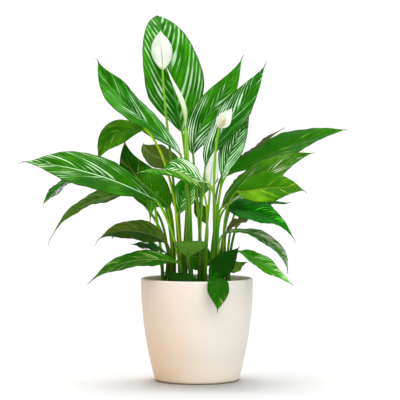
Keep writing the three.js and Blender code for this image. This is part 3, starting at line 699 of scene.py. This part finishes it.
def leafSkin(tone):
    deep, fresh, pale, below, stalk, shoot = (paint(*colour) for colour in leafLooks[tone])
    material, tree, where = newSkin("leaf" + tone.capitalize())
    along, reach, gap = parts(mark(tree, "bladeAt", "Vector"))
    vein, under, sheen, light, ribTone, stemTone = (
        mark(tree, name) for name in ("vein", "underside", "sheen", "light", "ribTone", "stemTone"))
    span = abs(reach)
    hand = reach.math("SIGN")
    onBlade = along.ramp(0, 0.03)

    # off is 1 on a side vein and 0 halfway to the next, thread the same for the fine veins between
    off = abs(vein.math("FRACT") - 0.5) * 2
    thread = abs((vein * 4).math("FRACT") - 0.5) * 2
    strip = vectorOf(vein.math("FLOOR"), hand, along.math("FLOOR"))
    chance = give(tree, "ShaderNodeTexWhiteNoise", "Value", {"Vector": strip}, noise_dimensions="3D")

    cloud = grain(where, 26)
    fine = grain(where, 160, 2.0)
    lengthwise = grain(vectorOf(vein * 0.8, span * 3, hand * 9), 1.0, 2.0)
    # light moves the green towards the fresh one: partly the leaf's own tone, partly painted light and
    # shade
    patch = cloud * 0.6 + lengthwise * 0.45 + (chance - 0.5) * 0.15 + light * 0.9 - 0.48
    dark = [c * 0.7 for c in deep[:3]] + [1]
    lines = (off.ramp(0.7, 1) * 0.7 + thread.ramp(0.4, 1) * 0.35) * onBlade

    # the shine along the strips between two veins is a painted highlight, broad where the painted sheen is
    # strong; soft is a fainter painted glow round it
    broken = grain(vectorOf(vein * 0.35, span * 1.5, hand * 7), 1.3, 1.0)
    lit = grain(where, 18, 2.0)
    fill = (broken - 0.5) * 1.6 + (chance - 0.5) * 0.5 + (lit - 0.5) * 1.9 + sheen * 1.1 - 0.15
    faint = grain(vectorOf(vein * 0.6, span * 4, hand * 5), 1.1, 2.0)
    shine = (fill - off).ramp(0, 0.4) * span.ramp(0.02, 0.2) * (1 - span.ramp(0.86, 0.99))
    shine = shine * (faint * 0.9 + sheen * 0.65 - 0.05) * sheen.ramp(0, 0.25) * onBlade * (1 - under)
    soft = (fill * 0.6 + 0.5 - off).ramp(0, 0.9) * sheen.ramp(0, 0.5) * onBlade

    ridge = 1 - gap.ramp(0.0003, 0.0015)
    below = layered(below, (off.ramp(0.8, 1) * 0.3 + ridge * 0.4, pale),
                    (cloud.ramp(0.3, 0.7) * 0.5, deep))
    height = parts(where)[2]
    # the stalk is painted darker near the soil: painted shade
    stem = layered(
        deep, ((cloud * 0.8 + stemTone).ramp(0.3, 1.2), stalk),
        ((fine + span).ramp(0.7, 1.3) * stemTone, shoot),
        ((1 - (height + cloud * 0.06).ramp(0.19, 0.33)) * 0.8, paint(14, 58, 2)))  # near the soil
    green = layered(
        deep, (patch.ramp(0.3, 0.75), fresh), (lines, dark), (soft * 0.35, fresh), (shine, pale),
        (ridge * onBlade * ribTone * (1 - along.ramp(0.5, 1)), pale),
        (span.ramp(0.94, 1) * 0.6 * onBlade, paint(44, 62, 14)),  # margin
        (under * 0.7 * onBlade, below), (1 - along.ramp(-0.02, 0.05), stem),
        (along.ramp(0.955, 0.995) * 0.8, paint(84, 80, 34)),
        (along.ramp(0.99, 1.01), paint(98, 82, 60)))  # dried thread

    threads = (vein * pi * 10).math("SINE") * onBlade
    return finishSkin(material, {
        "Base Color": combined("MULTIPLY", green, mark(tree, "tint", "Vector")),
        "Roughness": 0.3 + under * 0.2 + fine * 0.2,
        "Specular IOR Level": 0.16, "Specular Tint": (0.3, 0.9, 0.15, 1),
        "Normal": raised(threads * 0.12 + fine + grain(where, 700, 2.0) * 0.4, 0.0003, 0.5)})


def layPiece(kind, name, rows, tree, values):
    # kind and name together are the name of the CAD node that the piece replaces
    words = f"{kind}_{name}".split("_")
    title = words[0] + "".join(word.capitalize() for word in words[1:])
    return runTree(title, spineMesh(title, rows), tree, values), f"{kind}_{name}"


bladeTree = makeBladeTree()
leafSkins = {tone: leafSkin(tone) for tone in leafLooks}
for number, (name, (tone, *places, touch)) in enumerate(leafTable.items()):
    touch = {**leafPlain, **touch}
    tint, rib, stem, slant, veins = (touch.pop(key) for key in leafPlain)
    rows = leafRows(*places, seed=number, **touch)
    widest = max(r["half"] for r in rows)
    values = {
        "Points Round": 4 * min(max(round(widest / bladeForm["across"]), 8), 30),
        "Vein Distance": max(2 * widest * veins * hypot(0.67, 0.74 * slant),
                             bladeForm["closestVeins"]) * mm,
        "Relief": bladeForm["relief"] * mm, "Slant": float(slant), "Rib": float(rib),
        "Stem": float(stem), "Tint": tint, "Seed": float(number), "Material": leafSkins[tone],
    }
    piece, node = layPiece("leaf", name, rows, bladeTree, values)
    attach(outwards(piece), node)
print(len(leafTable), "leaves made")

# A flower's stalk runs from its root to base; the spathe's rib runs on through low and high to tip.
flowerTable = {
    "back_view": dict(
        root=(-32, 42), base=(-62, 46, 553), low=(-63, 44, 578), high=(-65, 38, 603),
        tip=(-65, 32, 624), width=50, across=(-1, 0, 0), fold=18, curl=40, spadix=34),
    "rolled": dict(
        root=(-11, -4), base=(-20, 10, 449), low=(-26, 10, 485), high=(-39, 10, 519),
        tip=(-53, 10, 558), width=24, across=(-0.6, 0.7, 0.2), fold=20, curl=150, girth=4.2),
    "open": dict(
        root=(31, -53), base=(39, -24, 448), low=(45, -26, 459), high=(53, -27, 471),
        tip=(62, -26, 484), width=32, across=(0.75, 0, -0.6), fold=15, curl=40, spadix=22),
    "low": dict(
        root=(12, -16), base=(23, -12, 340), low=(25, -12, 364), high=(28, -13, 388),
        tip=(31, -16, 410), width=34, across=(-0.95, 0.1, 0.2), fold=20, curl=45, spadix=22),
}
flowerForm = {
    "step": 1.2,  # between the points of a spathe's rib
    "wave": 0.5,
    "scapeHalf": 2.1,
    "scapeTaper": 0.4,
    "scapeRise": 0.4,
    "budNeck": 0.6,  # how far the scape draws in under a rolled bud
    "budUnrolled": 0.84,
    "gap": 0.3,  # between the scape and its spathe
    "thick": 0.7,
    "ribThick": 1.4,
    "baseHalf": 1,
    "backset": 1.3,  # of the spathe behind the scape's middle
    "broadest": 0.42,
    "spadixHalf": 3.2,
    "spadixOut": 1.7,
    "spadixUp": 0.5,
    "spadixLean": 0.32,
    "spadixGirth": (0.25, 0.28, 0.7, 0.96, 1, 0.97, 0.9, 0.75, 0.35),
    "spadixSteps": 64,
    "florets": 190,  # on a spadix 30 long
    "floretSize": 0.82,
}


def spatheRows(rib, width, across, fold, curl):
    steps = max(round(lengthOf(rib) / flowerForm["step"]), 24)
    rows = []
    shares = [min(max(i / steps, 0), 1) for i in range(-1, steps + 2)]
    for t, place, heading, distance in walk(rib, shares):
        size = 0 if len(rows) in (0, steps + 2) else 1
        half = max(width / 2 * outline(t, flowerForm["broadest"]), mix(flowerForm["baseHalf"], 0.5, t))
        swell = flowerForm["wave"] * sin(pi * t)
        rows.append(row(
            place, heading, across, half=half * size, fold=radians(fold),
            curl=radians(curl), thick=flowerForm["thick"] * size,
            ribThick=mix(flowerForm["ribThick"], 0.7, t) * size, ribHalf=1.1, roundness=8,
            waveLeft=swell * sin(7 * t) * size, waveRight=swell * sin(8 * t + 1) * size,
            along=t, distance=distance, blade=0.35))
    return rows


def spatheSkin():
    material, tree, where = newSkin("spatheWhite")
    along, reach, gap = parts(mark(tree, "bladeAt", "Vector"))
    under = mark(tree, "underside")
    cloud = grain(where, 60)
    lines = abs((gap * 1400).math("SINE"))
    rib = (1 - gap.ramp(0.0004, 0.0017)) * (1 - along.ramp(0.35, 0.75)) * (0.35 + under * 0.4)
    bud = mark(tree, "ribTone")  # a bud is still green for a good part of its length
    base = (1 - along.ramp(0.0, bud * 0.6 + 0.14)) * (0.6 + bud * 0.3)
    white = layered(
        paint(234, 241, 224), (cloud.ramp(0.3, 0.8), paint(251, 253, 246)),
        (lines.ramp(0.9, 1) * 0.12, paint(190, 206, 150)), (rib, paint(150, 178, 84)),
        (base, paint(160, 198, 100)), (along.ramp(0.93, 1) * 0.6, paint(160, 186, 96)))
    return finishSkin(material, {
        "Base Color": white, "Roughness": 0.42 + cloud * 0.12,
        "Subsurface Weight": 0.08, "Subsurface Radius": (0.004, 0.004, 0.003),
        "Normal": raised(lines * 0.4 + grain(where, 420, 2.0), 0.0002, 0.4)})


def scapeSkin():
    material, tree, where = newSkin("scapeGreen")
    along, reach, gap = parts(mark(tree, "bladeAt", "Vector"))
    streaks = grain(vectorOf(along * 6, reach * 9, 0), 1.0, 2.0)
    cloud = grain(where, 40)
    low = coloured(streaks.ramp(0.35, 0.65), paint(24, 84, 2), paint(62, 138, 8))
    high = coloured(streaks.ramp(0.35, 0.65), paint(62, 144, 6), paint(164, 212, 72))
    green = layered(low, (along.ramp(-0.9, -0.1), high), (cloud.ramp(0.55, 0.8) * 0.3, paint(52, 112, 6)))
    return finishSkin(material, {
        "Base Color": green, "Roughness": 0.34 + cloud * 0.15,
        "Specular IOR Level": 0.25, "Specular Tint": (0.4, 0.9, 0.2, 1),
        "Normal": raised(streaks + cloud * 0.5, 0.0003, 0.4)})


def randomOf(tree, low, high, seed, kind="FLOAT_VECTOR"):
    return give(tree, "FunctionNodeRandomValue", "Value", {"Min": low, "Max": high, "Seed": seed},
                data_type=kind)


def makeSpadixTree():
    # florets set in a golden spiral on a tapered club that follows the spine
    tree, given = shapeTree("floretsOnClub", {
        "Florets": 190, "Floret Size": 0.0008, "Seed": 3, "Material": None})
    spine = given["Geometry"]

    def onClub(line, turn, share):
        radius = readSpine(spine, "half", line) * share
        side, face, middle = (readSpine(spine, name, line) for name in ("side", "face", None))
        out = summed(scaled(side, turn.math("COSINE")), scaled(face, turn.math("SINE")))
        return summed(middle, scaled(out, radius)), out

    # the club
    around = 20
    grid, line, column = gridOn(spine, around)
    angle = column.math("MODULO", around) * (2 * pi / around)
    club = grid.then("SetPosition", {"Position": onClub(line, angle, 0.9)[0]})
    club = club.then("MergeByDistance", {"Distance": 2e-6})

    # the florets
    spots = form(tree, "Points", {"Count": given["Florets"]}, "Points")
    index = form(tree, "InputIndex", result="Index")
    order = (index + 0.5) / given["Florets"]
    step = (order * (countOf(spine) - 7) + 5).math("ROUND")  # clear of the club's two ends
    goldenAngle = 2.39996
    place, out = onClub(step, index * goldenAngle, 0.93)
    spots = spots.then("SetPosition", {"Position": place})
    bead = form(tree, "MeshIcoSphere", {"Radius": given["Floret Size"], "Subdivisions": 2}, "Mesh")
    turned = give(tree, "FunctionNodeAlignRotationToVector", "Rotation", {"Vector": out}, axis="Z")
    chance = randomOf(tree, 0.85, 1.15, given["Seed"], "FLOAT")
    florets = form(tree, "InstanceOnPoints", {
        "Points": spots, "Instance": bead, "Rotation": turned,
        "Scale": vectorOf(chance, chance, chance * 0.75)}, "Instances")
    florets = stored(florets.then("RealizeInstances"), "floret", 1.0)
    return closeTree(joined(florets, club).then("SetShadeSmooth"), given["Material"])


def spadixSkin():
    material, tree, where = newSkin("spadixCream")
    cloud = grain(where, 900, 2.0)
    cream = coloured(cloud.ramp(0.35, 0.65), paint(206, 188, 140), paint(238, 230, 196))
    cream = coloured(mark(tree, "floret"), paint(168, 156, 100), cream)
    return finishSkin(material, {"Base Color": cream, "Roughness": 0.55 + cloud * 0.2,
                                 "Normal": raised(grain(where, 2600, 2.0), 0.0002, 0.5)})


spadixTree = makeSpadixTree()
spatheWhite = spatheSkin()
scapeGreen = scapeSkin()
spadixCream = spadixSkin()


def makeFlower(name, root, base, low, high, tip, width, across, fold, curl, girth=None, spadix=0):
    rib = through(base, low, high, tip)
    heading = onCubic(rib, 0)[1]
    across = Vector(across)
    face = across.cross(heading).normalized()
    half = girth or flowerForm["scapeHalf"]
    plain = {"Points Round": 24, "Vein Distance": 0.004, "Relief": 0.0, "Slant": 1.0,
             "Rib": 0.0, "Stem": 0.0, "Tint": (1, 1, 1), "Seed": float(width)}

    # scape
    end = rib[0] - heading * flowerForm["gap"]
    stem = stalkCurve(root, end, heading, flowerForm["scapeRise"])
    narrow = flowerForm["budNeck"] if girth else 0

    def size(s):
        return (half + flowerForm["scapeTaper"] * (1 - s)) * (1 - narrow * max(s * 15 - 14, 0) ** 1.5)

    rows = stalkRows(stem, across, half=size, thick=lambda s: 2 * size(s))
    tail = dict(rows[-1], place=end, along=0)
    rows += [tail, dict(tail, half=0, thick=0, ribThick=0)]
    for r in rows:
        r["fold"] = 0.02
    piece, node = layPiece("scape", name, rows, bladeTree, {**plain, "Material": scapeGreen})
    attach(outwards(piece), node)

    # spathe
    curl *= flowerForm["budUnrolled"] if girth else 1
    back = face * -flowerForm["backset"]
    rows = spatheRows(through(*(Vector(p) + back for p in (base, low, high, tip))), width, across, fold,
                      curl)
    values = {**plain, "Points Round": 72, "Rib": float(bool(girth)), "Material": spatheWhite}
    piece, node = layPiece("spathe", name, rows, bladeTree, values)
    attach(outwards(piece), node)

    # spadix
    if spadix:
        chord = (rib[-1] - rib[0]).normalized()
        start = rib[0] + face * flowerForm["spadixOut"] + chord * flowerForm["spadixUp"]
        lean = (chord + face * flowerForm["spadixLean"]).normalized()
        steps = flowerForm["spadixSteps"]
        rows = []
        for i in range(steps + 1):
            radius = between(flowerForm["spadixGirth"], i / steps) * flowerForm["spadixHalf"]
            rows.append(row(start + lean * (spadix * i / steps), lean, across,
                            half=0 if i in (0, steps) else radius, fold=0, curl=0, thick=0,
                            ribThick=0, ribHalf=1, roundness=2, along=0))
        values = {"Florets": round(flowerForm["florets"] * spadix / 30),
                  "Floret Size": flowerForm["floretSize"] * mm, "Seed": 3, "Material": spadixCream}
        piece, node = layPiece("spadix", name, rows, spadixTree, values)
        attach(piece, node)


for name, flower in flowerTable.items():
    makeFlower(name, **flower)
print(len(flowerTable), "flowers made")

potForm = {
    "height": 182,
    "rim": 100,  # outside radius
    "foot": 75,
    "corner": 5,
    "wall": 5,
    "floor": 7,
    "sides": 144,
}


def outerRadius(z):
    return potForm["rim"] - (potForm["rim"] - potForm["foot"]) * (1 - z / potForm["height"]) ** 2


def ringAt(radius, z, sides):
    turns = (2 * pi * k / sides for k in range(sides))
    return [Vector((radius * cos(a), radius * sin(a), z)) for a in turns]


def makePot():
    foot, corner, wall, base = (potForm[key] for key in ("foot", "corner", "wall", "floor"))
    half = wall / 2
    top = potForm["height"] - half
    line = [(foot * 0.5, 0)]
    startX, endX = foot - corner, outerRadius(corner)
    for i in range(9):  # the rounded edge of the foot
        t = i / 8
        line.append((startX * (1 - t) ** 2 + foot * 2 * t * (1 - t) + endX * t * t, corner * t * t))
    rises = [corner + (top - corner) * i / 40 for i in range(1, 41)]
    line += [(outerRadius(z), z) for z in rises]
    for i in range(1, 12):  # the lip
        turn = pi * i / 12
        line.append((potForm["rim"] - half + half * cos(turn), top + half * sin(turn)))
    line += [(outerRadius(z) - wall, z) for z in reversed(rises)]
    line.append((outerRadius(base) - wall, base))
    mesh = ringMesh("potShell", Vector((0, 0, 0)), [ringAt(x, z, potForm["sides"]) for x, z in line],
                    Vector((0, 0, base)))
    mesh.polygons.foreach_set("use_smooth", [True] * len(mesh.polygons))
    return outwards(keep("potShell", mesh))


def potSkin():
    material, tree, where = newSkin("potCream")
    x, y, z = parts(where)
    cloud = grain(where, 9, 4.0)
    speck = grain(where, 420, 2.0)
    # painted light: the foot and the wall inside the rim are painted paler to lift the shade that falls on
    # them
    foot = 1 - z.ramp(0, 0.055)  # paler towards the foot, and on the wall inside the rim
    inside = (1 - (x * x + y * y).math("SQRT").ramp(0.0965, 0.0975)) * z.ramp(0.158, 0.164)
    # painted shade: the left side, more so low down, is painted darker and warmer
    warmShade = (0.05 - x).ramp(0.0, 0.17) * (0.5 + (0.18 - z).ramp(0, 0.19) * 0.5)
    cream = layered(
        paint(225, 218, 207), (cloud.ramp(0.3, 0.75), paint(230, 224, 215)),
        (speck.ramp(0.7, 0.8) * 0.1, paint(206, 190, 166)),
        (foot * 0.75 + inside * 0.9, paint(255, 244, 224)), (warmShade * 0.9, paint(231, 187, 137)),
        # a painted highlight along the top of the lip
        (z.ramp(0.1795, 0.182) * 0.25, paint(250, 246, 238)))
    return finishSkin(material, {
        "Base Color": cream, "Roughness": 0.42 + cloud * 0.12, "Coat Weight": 0.1,
        "Coat Roughness": 0.35, "Normal": raised(cloud * 0.6 + speck * 0.15, 0.0004, 0.25)})


pot = makePot()
pot.data.materials.append(potSkin())
attach(pot, "pot")
print("pot made")

soilForm = {
    "radius": 94.2,  # at its top
    "depth": 22,
    "rings": 34,
    "sides": 96,
    "dip": 3.2,  # depth of the hollows in its top
    "crumbs": 26000.0,  # a square metre
    "grits": 2200.0,
    "crumbSize": 1.9,
    "gritSize": 1.5,
}


def makeSoilBed():
    count = soilForm["rings"]
    rings = [ringAt(soilForm["radius"] * r / count, 0, soilForm["sides"]) for r in range(1, count + 1)]
    middle = Vector((0, 0, 0))
    for p in (middle, *(p for ring in rings for p in ring)):
        bumpy = noise.noise(p * 0.06) * 0.5 + noise.noise(p * 0.23) * 0.35
        p.z = soilTop - soilForm["dip"] * (0.5 - 0.5 * bumpy)
    bottom = soilTop - soilForm["depth"]
    rings.append([Vector((p.x * 0.985, p.y * 0.985, bottom)) for p in rings[-1]])
    return ringMesh("soilBed", middle, rings, Vector((0, 0, bottom)), flipped=True)


def soilSkin(name, dark, light, size):
    material, tree, where = newSkin(name)
    cloud = grain(where, size, 5.0, 0.65)
    fine = grain(where, size * 6)
    earth = coloured((cloud * 0.7 + fine * 0.4).ramp(0.35, 0.8), dark, light)
    return finishSkin(material, {"Base Color": earth, "Roughness": 0.8 + cloud * 0.15,
                                 "Normal": raised(cloud + fine * 0.5, 0.001, 0.9)})


def makeSoilTree():
    tree, given = shapeTree("crumbsOnSoil", {
        "Crumbs": soilForm["crumbs"], "Grits": soilForm["grits"], "Crumb Size": 0.002,
        "Grit Size": 0.0015, "Seed": 7, "Earth": None, "Grit": None})
    bed = given["Geometry"]
    level = parts(form(tree, "InputNormal", result="Normal"))[2].math("GREATER_THAN", 0.5)

    def scatter(density, size, flat, material, seed):
        spots = form(tree, "DistributePointsOnFaces",
                     {"Mesh": bed, "Selection": level, "Density": density, "Seed": seed}, "Points")
        rock = form(tree, "MeshIcoSphere", {"Radius": size, "Subdivisions": 1}, "Mesh")
        spread = form(tree, "InstanceOnPoints", {
            "Points": spots, "Instance": rock,
            "Rotation": randomOf(tree, (0, 0, 0), (6.28, 6.28, 6.28), seed),
            "Scale": randomOf(tree, (0.4, 0.35, flat), (1.25, 1.0, 0.8), seed + 1)}, "Instances")
        return spread.then("RealizeInstances").then("SetMaterial", {"Material": material})

    crumbs = scatter(given["Crumbs"], given["Crumb Size"], 0.3, given["Earth"], given["Seed"])
    grits = scatter(given["Grits"], given["Grit Size"], 0.4, given["Grit"], given["Seed"] + 11)
    ground = bed.then("SetMaterial", {"Material": given["Earth"]}).then("SetShadeSmooth")
    return closeTree(joined(grits, crumbs, ground))


soil = runTree("soilBed", makeSoilBed(), makeSoilTree(), {
    "Crumbs": soilForm["crumbs"], "Grits": soilForm["grits"], "Crumb Size": soilForm["crumbSize"] * mm,
    "Grit Size": soilForm["gritSize"] * mm, "Seed": 7,
    "Earth": soilSkin("soilEarth", paint(26, 18, 12), paint(82, 60, 42), 90),
    "Grit": soilSkin("soilGrit", paint(176, 170, 158), paint(232, 228, 218), 300)})
attach(soil, "soil")
print("soil made")

studio = {  # in metres
    "cameraFrom": (0, -3.5, 0.43),
    "cameraTo": (0.00535, 0, 0.32085),
    "viewWidth": 0.7130,  # at the plant
    "sensor": 36,
    "shadeWithin": 0.215,  # of the pot's axis
    "worldLight": 0.26,
    "backing": 1.05,  # what the camera sees behind the plant
    "floorCorners": ((-6, -6), (6, -6), (6, 9), (-6, 9)),
    "floorDrop": 0.0005,
    # where each light comes from, its strength, how soft it is in degrees, and its colour
    "lights": {
        "top": ((0.1, -0.3, 3), 2.45, 95, (1, 1, 1)),
        "key": ((1.3, -2.1, 2), 1.1, 50, (1, 0.99, 0.97)),
        "fill": ((-2.2, -1.8, 1.1), 0.6, 60, (0.96, 0.99, 1)),
        "front": ((0.2, -3.5, 0.9), 0.42, 20, (1, 1, 1)),
        "floor": ((0, 0.4, 3), 1.9, 48, (1, 1, 1)),
        "floorBack": ((0, 1.1, 3), 1.5, 34, (1, 1, 1)),
    },
}


def aim(thing, place, target):
    thing.location = place
    thing.rotation_euler = (Vector(target) - Vector(place)).to_track_quat("-Z", "Y").to_euler()


camera = keep("camera", bpy.data.cameras.new("camera"))
aim(camera, studio["cameraFrom"], studio["cameraTo"])
reach = (Vector(studio["cameraTo"]) - Vector(studio["cameraFrom"])).length
camera.data.sensor_width = studio["sensor"]
camera.data.lens = studio["sensor"] * reach / studio["viewWidth"]
camera.data.clip_end = 100
scene.camera = camera

world = bpy.data.worlds.new("studioWhite")
scene.world = world
world.use_nodes = True
backing = world.node_tree.nodes["Background"]
backing.inputs["Color"].default_value = (1, 1, 1, 1)
ray = give(world.node_tree, "ShaderNodeLightPath", "Is Camera Ray")
plug(ray.blend(studio["worldLight"], studio["backing"]), backing.inputs["Strength"])

corners = [(x, y, -studio["floorDrop"]) for x, y in studio["floorCorners"]]
floorMesh = bpy.data.meshes.new("floor")
floorMesh.from_pydata(corners, [], [(0, 1, 2, 3)])
floor = keep("floor", floorMesh)
floorSkin, tree, where = newSkin("floorWhite")
pale = coloured(grain(where, 3), (0.8, 0.8, 0.8, 1), (0.82, 0.82, 0.82, 1))
floorMesh.materials.append(finishSkin(floorSkin, {"Base Color": pale, "Roughness": 0.9}))

# two lights are kept for the floor, shaded by the pot and the leaves near it; the others leave it out
onFloor, offFloor, shading = (bpy.data.collections.new(n) for n in ("onFloor", "offFloor", "shading"))
onFloor.objects.link(floor)
offFloor.objects.link(floor)
offFloor.collection_objects[0].light_linking.link_state = "EXCLUDE"
for piece in scene.objects:
    if piece.type == "MESH" and piece.data.vertices and piece is not floor and not piece.hide_render:
        if max(hypot(v.co.x, v.co.y) for v in piece.data.vertices) < studio["shadeWithin"]:
            shading.objects.link(piece)
for name, (place, power, soft, colour) in studio["lights"].items():
    lamp = bpy.data.lights.new(name + "Light", "SUN")
    lamp.angle = radians(soft)
    lamp.energy = power
    lamp.color = colour
    holder = keep(name + "Light", lamp)
    aim(holder, place, (0, 0, 0))
    holder.light_linking.receiver_collection = offFloor
    if name.startswith("floor"):
        holder.light_linking.receiver_collection = onFloor
        holder.light_linking.blocker_collection = shading
scene.view_settings.view_transform = "Standard"
scene.view_settings.look = "None"
print("studio made")
